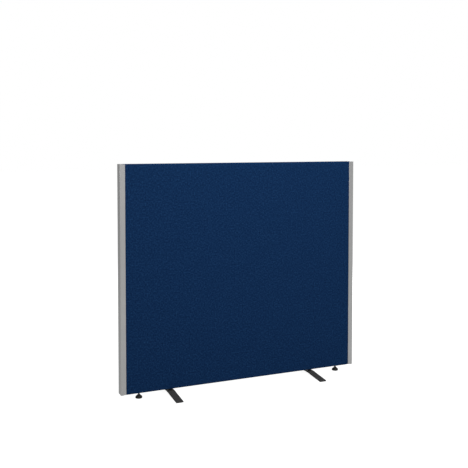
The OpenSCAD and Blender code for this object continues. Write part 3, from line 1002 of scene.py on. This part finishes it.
@dataclass
class Cover:
    """The woven cover: one cloth pulled over the top and turned in underneath and at the ends."""

    thickness: float = 1.15 * MM
    edge_radius: float = 6.0 * MM
    pinch: float = 2.0 * MM
    swell: float = 9.0 * MM
    bare_half: float = 6.0 * MM
    insert_radius: float = 10.3 * MM
    end_flap: float = 15.0 * MM
    staple_pitch: float = 100.0 * MM
    pucker: float = 0.4 * MM
    slack: float = 0.08 * MM
    slack_waves: float = 7.0
    calm_margin: float = 40.0 * MM
    field_step: float = 25.0 * MM
    low: Vector = field(init=False)
    high: Vector = field(init=False)
    trim_in: float = field(init=False)
    insert_places: list[float] = field(init=False)

    def __post_init__(self) -> None:
        """Reads the cover's own places from the frame."""
        self.low, self.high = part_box("fabric_cover")
        self.trim_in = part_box("right_edge_trim")[0].x
        names = ("left_glide_insert", "left_bar_insert", "right_bar_insert", "right_glide_insert")
        self.insert_places = [sum(corner.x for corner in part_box(name))/2 for name in names]

    def half(self, x: float) -> float:
        """Returns half the cover's thickness at a place along the panel: pinched inside the trims."""
        into = min(1.0, max(0.0, (abs(x) - self.trim_in + self.swell)/self.swell))
        return self.high.y - self.pinch*into*into*(3.0 - 2.0*into)

    def turned_edge(self, x: float) -> float:
        """Finds how far from the middle the turned-in edge lies, scalloped round the inserts.

        Args:
            x: The place along the panel.

        Returns:
            The distance.
        """
        for place in self.insert_places:
            gap = abs(x - place)
            if gap < self.insert_radius:
                return max(self.bare_half, math.sqrt(self.insert_radius**2 - gap**2))
        return self.bare_half

    def stations(self) -> list[float]:
        """Lists the places along the panel where the wrap is drawn, closest at inserts and trims.

        Returns:
            The X of each place, in order.
        """
        reach = self.trim_in - self.swell
        places = set(np.round(np.arange(-26, 27)*self.field_step, 6))
        for insert in self.insert_places:
            places |= set(np.round(insert + np.linspace(-13.0, 13.0, 21) * MM, 6))
        for side in Side:
            near = np.linspace(0.0, self.swell, 8)
            inside = np.array([4.0, 8.0, 11.0]) * MM
            places |= set(np.round(side.value*(reach + np.concatenate([near, self.swell + inside])), 6))
        kept: list[float] = []
        for place in sorted(places):
            if abs(place) < self.high.x - 1.0 * MM and (not kept or place - kept[-1] > 0.9 * MM):
                kept.append(float(place))
        return kept

    def wrap(self, half: float, low: float, high: float, edge: float) -> np.ndarray:
        """Draws the cloth's way round the panel at one station.

        Args:
            half: Half the thickness there.
            low: The height of the underside.
            high: The height of the top.
            edge: Where the turned-in edge lies.

        Returns:
            The Y and Z of each point, from the front edge underneath to the back one.
        """
        r = min(self.edge_radius, half)
        flat = half - r
        way = [(-edge - (flat - edge)*t, low) for t in (0.0, 0.15, 0.3, 0.45, 0.6, 0.8, 1.0)]
        turns = np.radians(np.linspace(0.0, 90.0, 6)[1:])
        way += [(-flat - r*math.sin(a), low + r - r*math.cos(a)) for a in turns]
        way += [(-half, low + r + (high - low - 2*r)*t) for t in np.linspace(0.0, 1.0, 49)[1:]]
        way += [(-flat - r*math.cos(a), high - r + r*math.sin(a)) for a in turns]
        way += [(-flat*t, high) for t in (0.7, 0.35)]
        return np.array(way + [(0.0, high)] + [(-y, z) for y, z in reversed(way)])

    def ease(self, x: float, way: np.ndarray) -> np.ndarray:
        """Gives a wrap the small waves of cloth over felt and the puckers between staples.

        Args:
            x: The station's place along the panel.
            way: The wrap's points.

        Returns:
            The eased points.
        """
        eased = way.copy()
        margin = self.calm_margin
        calm = min(1.0, max(0.0, (self.trim_in - abs(x))/margin))
        between = abs(math.sin(math.pi*x/self.staple_pitch))
        for point in eased:
            y, z = point
            if abs(y) > self.high.y - self.edge_radius and self.low.z + margin < z < self.high.z - margin:
                fade = calm*min(1.0, (z - self.low.z - margin)/margin, (self.high.z - margin - z)/margin)
                wave = ripple(x, z, self.slack_waves, math.copysign(3.0, y))
                point[0] += math.copysign(self.slack*fade*wave, y)
            elif z < self.low.z + 0.1 * MM:
                share = (abs(y) - self.bare_half)/(self.high.y - self.edge_radius - self.bare_half)
                point[1] -= self.pucker*between*max(0.0, 4.0*share*(1.0 - share))
        return eased

    def turned_end(self, side: Side) -> list[tuple[float, np.ndarray]]:
        """Draws the cloth turned in over one end of the frame.

        Args:
            side: The end.

        Returns:
            The place of each wrap along the flat cloth and its points, the cloth's edge last.
        """
        half = self.high.y - self.pinch
        flap = self.end_flap/MM
        rows = []
        bend = ((0.3, 0.2, 0.3), (1.2, 0.9, 0.0), (4.0, 3.6, 0.0))
        for turned, inward, short in (*bend, (flap, flap - 0.4, 0.0)):
            inset = inward * MM
            way = self.wrap(half - inset, self.low.z + inset, self.high.z - inset,
                            min(self.bare_half, half - inset - self.edge_radius))
            x = side.value*(self.high.x - short * MM)
            rows.append((side.value*(self.high.x + turned * MM), np.insert(way, 0, x, axis=1)))
        return rows

    def drawn(self) -> tuple[np.ndarray, np.ndarray]:
        """Draws the whole cloth, from the left flap to the right one.

        Returns:
            The grid of its points, and where each lies on the flat cloth.
        """
        rows = []
        for x in self.stations():
            way = self.wrap(self.half(x), self.low.z, self.high.z, self.turned_edge(x))
            rows.append((x, np.insert(self.ease(x, way), 0, x, axis=1)))
        rows = self.turned_end(Side.LEFT)[::-1] + rows + self.turned_end(Side.RIGHT)
        grid = np.array([row for _, row in rows])
        steps = np.linalg.norm(np.diff(grid[len(grid)//2], axis=0), axis=1)
        down = np.concatenate([[0.0], np.cumsum(steps)])
        down -= down[len(down)//2]
        flat = np.zeros_like(grid)
        flat[..., 0] = np.array([place for place, _ in rows])[:, None]
        flat[..., 1] = down[None, :]
        return grid, flat

    def build(self) -> bpy.types.Object:
        """Returns:
            The cover.
        """
        grid, flat = self.drawn()
        faces = [face[::-1] for face in grid_faces(grid.shape[0], grid.shape[1])]
        shape = Shape(grid.reshape(-1, 3), faces)
        cover = shape.piece("woven_cover", NAVY_CLOTH, "panel", "cover_fabric", 60.0,
                            {"cloth_place": flat.reshape(-1, 3)})
        skin = cover.modifiers.new("cloth_thickness", "SOLIDIFY")
        skin.thickness = self.thickness
        skin.offset = -1.0
        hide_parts("fabric_cover")
        return cover


@dataclass
class Felts:
    """The two felts that soften the panel's faces under the cover."""

    cover: Cover
    skin_room: float = 0.25 * MM
    corner: float = 4.5 * MM
    least: float = 0.3 * MM
    lump: float = 0.12 * MM
    lump_waves: float = 16.0
    step: float = 28.0 * MM

    def build(self) -> list[bpy.types.Object]:
        """Returns:
            The felts.
        """
        felts = []
        for face in Face:
            node = f"{face.word}_felt"
            low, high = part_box(node)
            inner = min(abs(low.y), abs(high.y))
            reach = self.cover.trim_in - self.cover.swell
            across = np.concatenate([[low.x], np.linspace(-self.cover.trim_in, -reach, 5),
                                     np.linspace(-reach, reach, 47)[1:-1],
                                     np.linspace(reach, self.cover.trim_in, 5), [high.x]])
            up = spread(low.z, high.z, self.corner, self.step)
            full = rounding(up, self.corner)
            backs = np.zeros((len(up), len(across)))
            faces = np.zeros_like(backs)
            for i, z in enumerate(up):
                for j, x in enumerate(across):
                    depth = self.cover.half(x) - self.cover.thickness - self.skin_room - inner
                    lump = self.lump*(ripple(x, z, self.lump_waves, 8.0 + face.value) - 1.0)
                    backs[i, j] = face.value*inner
                    faces[i, j] = face.value*(inner + max(self.least, (depth + lump)*full[i]))
            near, far = (faces, backs) if face is Face.FRONT else (backs, faces)
            felt = slab(across, up, near, far).piece(f"{node}_sheet", WHITE_FELT, "panel", "felt")
            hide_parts(node)
            felts.append(felt)
        return felts


@dataclass
class Absorbers:
    """The four slabs of bonded fibre that fill the bays on both sides of the board."""

    corner: float = 5.0 * MM
    sink: float = 0.7 * MM
    lump_waves: float = 14.0
    step: float = 22.0 * MM
    fill: float = 0.8

    def build(self) -> list[bpy.types.Object]:
        """Returns:
            The slabs.
        """
        slabs = []
        for face in Face:
            for side in Side:
                node = f"{face.word}_{side.word}_absorber"
                low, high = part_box(node)
                across = spread(low.x, high.x, self.corner, self.step)
                up = spread(low.z, high.z, self.corner, self.step)
                full = np.outer(rounding(up, self.corner), rounding(across, self.corner))
                middle, half = (low.y + high.y)/2, (high.y - low.y)/2
                faces = []
                for way in (-1.0, 1.0):
                    seed = 20.0 + way + 3.0*side.value
                    lumps = np.array([[ripple(x, z, self.lump_waves, seed) for x in across] for z in up])
                    sunk = self.sink*(0.55 + 0.45*lumps)
                    rim = 0.8*self.corner
                    faces.append(middle + way*((half - rim) + rim*full - sunk*full))
                shape = slab(across, up, faces[0], faces[1])
                piece = shape.piece(f"{node}_slab", FIBRE_SLAB, "panel", "absorber")
                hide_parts(node)
                slabs.append(piece)
        return slabs


@dataclass
class TimberFrame:
    """The softwood frame, its board and its screws."""

    dresser: Dresser
    arris: float = 0.6 * MM

    def build(self) -> None:
        """Dresses the timbers and boards, and makes the frame screws and staples."""
        self.dresser.dress(("top_rail", "bottom_rail"), RAIL_PINE, self.arris)
        self.dresser.dress(("left_stile", "right_stile", "middle_stile"), STILE_PINE, self.arris)
        self.dresser.dress(("left_barrier_board", "right_barrier_board"), BROWN_BOARD, 0.2 * MM)
        screws = WoodScrews(self.dresser.nodes)
        screws.build("frame_screws", YELLOW_ZINC, "wood_screw", Head.COUNTERSUNK, 2.6 * MM, 0.4)
        Staples(self.dresser.nodes).build()


@dataclass
class EdgeTrims:
    """The two edge trims with their cover strips, end caps and screws."""

    dresser: Dresser

    def build(self) -> None:
        """Dresses the trims, strips and caps, and makes the trim screws."""
        for side in Side:
            word = side.word
            self.dresser.dress((f"{word}_edge_trim",), GREY_TRIM, 0.25 * MM)
            self.dresser.dress((f"{word}_cover_strip",), GREY_STRIP, 0.2 * MM)
            self.dresser.dress((f"{word}_top_cap", f"{word}_bottom_cap"), GREY_CAP, 0.3 * MM)
            screws = WoodScrews(self.dresser.nodes)
            screws.build(f"{word}_trim_screws", ZINC, "trim_screw", Head.PAN, 1.8 * MM, 0.12)


# The feet


@dataclass
class Fastenings:
    """Sizes that the M8 studs, bolts and inserts share."""

    thread_radius: float = 4.0 * MM
    thread_depth: float = 0.62 * MM
    pitch: float = 1.25 * MM
    flats: float = 13.0 * MM
    flange_radius: float = 10.0 * MM
    sleeve_radius: float = 6.0 * MM
    bore_radius: float = 4.06 * MM
    wood_thread_depth: float = 0.9 * MM
    wood_thread_pitch: float = 3.0 * MM

    def insert(self, side: Side, kind: str) -> bpy.types.Object:
        """Makes one threaded insert, with the coarse thread that holds it in the rail.

        Args:
            side: Which end of the panel it is at.
            kind: What it carries, a glide or a bar.

        Returns:
            The insert.
        """
        node = f"{side.word}_{kind}_insert"
        low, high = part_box(node)
        lip = 0.4 * MM
        top_of_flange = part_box("bottom_rail")[0].z
        turned = Turned(48)
        turned.profile((self.bore_radius + 0.6 * MM, low.z))
        turned.arc((self.flange_radius - lip, low.z + lip), lip, -90.0, 0.0, 3)
        turned.profile((self.flange_radius, top_of_flange - 0.05 * MM),
                       (self.sleeve_radius - 0.4 * MM, top_of_flange))
        turned.thread(self.sleeve_radius, self.wood_thread_depth, self.wood_thread_pitch,
                      top_of_flange + 0.1 * MM, high.z - 1.0 * MM, 8, 0.12)
        turned.profile((self.sleeve_radius - 1.2 * MM, high.z), (self.bore_radius + 0.3 * MM, high.z),
                       (self.bore_radius, high.z - 0.4 * MM), (self.bore_radius, low.z + 0.6 * MM))
        shape = turned.shape((low.x + high.x)/2, 0.0, closed=True)
        piece = shape.piece(f"{node}_threaded", YELLOW_ZINC, "panel", "insert_steel", 45.0)
        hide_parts(node)
        return piece


@dataclass
class Glides:
    """The two screw-in levelling glides, each a moulded base that its stud turns in."""

    fastenings: Fastenings
    rim_height: float = 5.5 * MM
    neck_radius: float = 9.8 * MM
    bevel: float = 1.0 * MM
    foot_radius: float = 6.0 * MM
    foot_height: float = 3.0 * MM
    hex_height: float = 5.0 * MM
    hex_gap: float = 0.3 * MM
    pocket_room: float = 0.1 * MM
    hollow: float = 0.5 * MM

    def base(self, side: Side) -> bpy.types.Object:
        """Makes one moulded base, with a hollow under it and a pocket for the stud's foot.

        Args:
            side: Which glide it is of.

        Returns:
            The base.
        """
        node = f"{side.word}_glide_base"
        low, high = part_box(node)
        outer, top = (high.x - low.x)/2, high.z
        stud_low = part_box(f"{side.word}_glide_stud")[0].z
        pocket_top = stud_low + self.foot_height + self.pocket_room
        bore = self.fastenings.thread_radius + self.pocket_room
        turned = Turned(72)
        turned.profile((0.05 * MM, self.hollow), (0.6*outer, self.hollow), (0.64*outer, 0.1 * MM),
                       (0.66*outer, 0.0), (outer - self.bevel, 0.0))
        turned.arc((outer - self.bevel, self.bevel), self.bevel, -75.0, 0.0, 4)
        turned.profile((outer, self.rim_height - 0.35 * MM), (outer - 0.12 * MM, self.rim_height - 0.2 * MM),
                       (outer - 0.12 * MM, self.rim_height), (outer, self.rim_height + 0.15 * MM))
        for turn in np.radians(np.linspace(8.0, 90.0, 14)):
            turned.ring(outer - (outer - self.neck_radius)*(1.0 - math.cos(turn)),
                        self.rim_height + (top - self.rim_height)*turn/(math.pi/2))
        turned.profile((self.neck_radius - 0.5 * MM, top), (bore + 0.5 * MM, top), (bore, top - 0.5 * MM),
                       (bore, pocket_top), (self.foot_radius + self.pocket_room, pocket_top),
                       (self.foot_radius + self.pocket_room, stud_low - self.pocket_room),
                       (0.05 * MM, stud_low - self.pocket_room))
        shape = turned.shape((low.x + high.x)/2, 0.0)
        piece = shape.piece(f"{node}_moulding", BLACK_PLASTIC, f"{side.word}_glide", "glide_plastic", 50.0)
        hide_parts(node)
        return piece

    def stud(self, side: Side) -> bpy.types.Object:
        """Makes one stud: its foot, its hexagon and its thread.

        Args:
            side: Which glide it is of.

        Returns:
            The stud.
        """
        node = f"{side.word}_glide_stud"
        low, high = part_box(node)
        hex_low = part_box(f"{side.word}_glide_base")[1].z + self.hex_gap
        hex_high = hex_low + self.hex_height
        share = self.fastenings
        shank = share.thread_radius - 0.1 * MM
        turned = Turned(48)
        turned.profile((self.foot_radius - 0.3 * MM, low.z), (self.foot_radius, low.z + 0.3 * MM),
                       (self.foot_radius, low.z + self.foot_height - 0.3 * MM),
                       (self.foot_radius - 0.3 * MM, low.z + self.foot_height),
                       (shank, low.z + self.foot_height), (shank, hex_low))
        turned.hexagon(share.flats, hex_low, hex_high, (True, True))
        turned.profile((shank - 0.5 * MM, hex_high), (shank - 0.5 * MM, hex_high + 0.8 * MM))
        turned.thread(share.thread_radius, share.thread_depth, share.pitch,
                      hex_high + 1.2 * MM, high.z - 1.0 * MM)
        turned.profile((share.thread_radius - 1.0 * MM, high.z))
        shape = turned.shape((low.x + high.x)/2, 0.0)
        piece = shape.piece(f"{node}_threaded", BLACK_STEEL, node, "stud_steel", 38.0)
        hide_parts(node)
        return piece

    def build(self) -> None:
        """Makes both glides and the inserts they screw into."""
        for side in Side:
            self.fastenings.insert(side, "glide")
            self.base(side)
            self.stud(side)


@dataclass
class Stabilisers:
    """The two flat bars under the panel, each on a bolt that it swivels round."""

    fastenings: Fastenings
    dresser: Dresser
    head_height: float = 5.3 * MM
    plain_length: float = 14.0 * MM

    def bolt(self, side: Side) -> bpy.types.Object:
        """Makes one hexagon bolt, its head down and its thread up in the panel.

        Args:
            side: Which bar it holds.

        Returns:
            The bolt.
        """
        node = f"{side.word}_bar_bolt"
        low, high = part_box(node)
        share = self.fastenings
        head_top = low.z + self.head_height
        plain_top = head_top + self.plain_length
        shank = share.thread_radius - 0.02 * MM
        turned = Turned(48)
        turned.hexagon(share.flats, low.z, head_top, (True, False))
        turned.profile((0.48*share.flats, head_top), (shank, head_top), (shank, plain_top))
        turned.thread(share.thread_radius, share.thread_depth, share.pitch,
                      plain_top + 0.2 * MM, high.z - 1.0 * MM)
        turned.profile((share.thread_radius - 1.0 * MM, high.z))
        shape = turned.shape((low.x + high.x)/2, 0.0)
        piece = shape.piece(f"{node}_threaded", BLACK_STEEL, "panel", "bolt_steel", 38.0)
        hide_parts(node)
        return piece

    def build(self) -> None:
        """Makes the bolts and inserts, and dresses the bars, spacers and washers."""
        for side in Side:
            word = side.word
            self.fastenings.insert(side, "bar")
            self.bolt(side)
            self.dresser.dress((f"{word}_stabiliser_bar",), BLACK_COAT, 0.5 * MM)
            self.dresser.dress((f"{word}_bar_spacer",), BLACK_COAT, 0.3 * MM)
            self.dresser.dress((f"{word}_bar_washer",), ZINC, 0.2 * MM)


# The studio


@dataclass
class Lamp:
    """One soft lamp: a square of light that looks at a point."""

    name: str
    place: Vector
    aim: Vector
    size: float
    power: float

    def build(self) -> None:
        """Hangs the lamp."""
        light = bpy.data.lights.new(self.name, "AREA")
        light.shape = "SQUARE"
        light.size = self.size
        light.energy = self.power
        obj = bpy.data.objects.new(self.name, light)
        obj.location = self.place
        obj.rotation_euler = (self.aim - self.place).to_track_quat("-Z", "Y").to_euler()
        bpy.context.scene.collection.objects.link(obj)


@dataclass
class Studio:
    """The pale floor, the white surroundings, the lamps and the camera."""

    camera_place: Vector = field(default_factory=lambda: Vector((-1.6894, -3.7530, 1.3469)))
    camera_turn: float = -23.574
    camera_dip: float = 2.426
    frame_pixels: float = 468.0
    focal_pixels: float = 746.8
    shift: float = -0.130
    sensor: float = 36.0
    floor_half: float = 30.0
    floor_grey: float = 0.36
    floor_shown: float = 0.35
    floor_glow: float = 0.94
    sky: float = 0.20

    def lit_floor(self) -> bpy.types.Material:
        """Makes the floor's material: white to look at, grey to the light it sends back.

        Returns:
            The material.
        """
        graph = Graph(bpy.data.materials.new("studio_floor"))
        seen = self.seen(graph)
        paper = graph.grain(graph.place(), 2.0, 2.0)
        grey = graph.ranged(paper, 0.3, 0.7, self.floor_grey - 0.01, self.floor_grey + 0.01)
        bounce = graph.add("BsdfDiffuse", {"Color": graph.grey(grey)})
        shown = graph.add("BsdfDiffuse", {"Color": (self.floor_shown,)*3})
        glow = graph.add("Emission", {"Color": WHITE, "Strength": self.floor_glow})
        bright = graph.add("AddShader", {0: shown.outputs[0], 1: glow.outputs[0]})
        return graph.finish(graph.add("MixShader", {0: seen, 1: bounce.outputs[0], 2: bright.outputs[0]}))

    @staticmethod
    def seen(graph: Graph) -> bpy.types.NodeSocket:
        """Tells the rays that look at something, from the camera, in a gloss or through glass.

        Args:
            graph: The graph that asks.

        Returns:
            A socket with 1 for those rays and 0 for others.
        """
        rays = graph.add("LightPath", {})
        gloss = graph.sum("MAXIMUM", rays.outputs["Is Glossy Ray"], rays.outputs["Is Transmission Ray"])
        return graph.sum("MAXIMUM", rays.outputs["Is Camera Ray"], gloss)

    def surroundings(self) -> None:
        """Makes the world: white to look at, and a plain soft sky to the light."""
        graph = Graph(bpy.data.worlds.new("studio_white"))
        strength = graph.ranged(self.seen(graph), 0.0, 1.0, self.sky, 1.0)
        background = graph.add("Background", {"Color": WHITE, "Strength": strength})
        bpy.context.scene.world = graph.finish(background)

    def floor(self) -> None:
        """Lays the floor."""
        half = self.floor_half
        mesh = bpy.data.meshes.new("studio_floor")
        corners = [(-half, -half, 0.0), (half, -half, 0.0), (half, half, 0.0), (-half, half, 0.0)]
        mesh.from_pydata(corners, [], [(0, 1, 2, 3)])
        mesh.materials.append(self.lit_floor())
        obj = bpy.data.objects.new("studio_floor", mesh)
        bpy.context.scene.collection.objects.link(obj)

    def camera(self) -> None:
        """Sets up the camera where the photograph was taken from, dipped a little and shifted down."""
        data = bpy.data.cameras.new("viewpoint")
        data.sensor_width = self.sensor
        data.lens = self.focal_pixels/self.frame_pixels*self.sensor
        data.shift_y = self.shift
        data.clip_end = 100.0
        obj = bpy.data.objects.new("viewpoint", data)
        obj.location = self.camera_place
        obj.rotation_euler = (math.radians(90.0 - self.camera_dip), 0.0, math.radians(self.camera_turn))
        bpy.context.scene.collection.objects.link(obj)
        bpy.context.scene.camera = obj

    def build(self) -> None:
        """Sets up the whole studio."""
        bpy.context.scene.view_settings.view_transform = "Standard"
        self.camera()
        self.floor()
        self.surroundings()
        middle = Vector((0.0, 0.0, 0.6))
        upper = Vector((0.0, 0.0, 0.9))
        Lamp("high_front_lamp", Vector((-0.05, -3.2, 3.4)), middle, size=1.8, power=165.0).build()
        Lamp("back_lamp", Vector((2.6, 2.7, 1.9)), upper, size=1.6, power=80.0).build()
        LOG.info("studio: camera, floor, sky and lamps")


def main() -> None:
    """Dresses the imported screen, sets up the studio and reports each piece."""
    logging.basicConfig(level=logging.INFO, format="%(message)s")
    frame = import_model()
    dresser = Dresser(frame["nodes"])
    cover = Cover()
    cover.build()
    Felts(cover).build()
    Absorbers().build()
    TimberFrame(dresser).build()
    EdgeTrims(dresser).build()
    fastenings = Fastenings()
    Glides(fastenings).build()
    Stabilisers(fastenings, dresser).build()
    Studio().build()


if __name__ == "__main__":
    main()
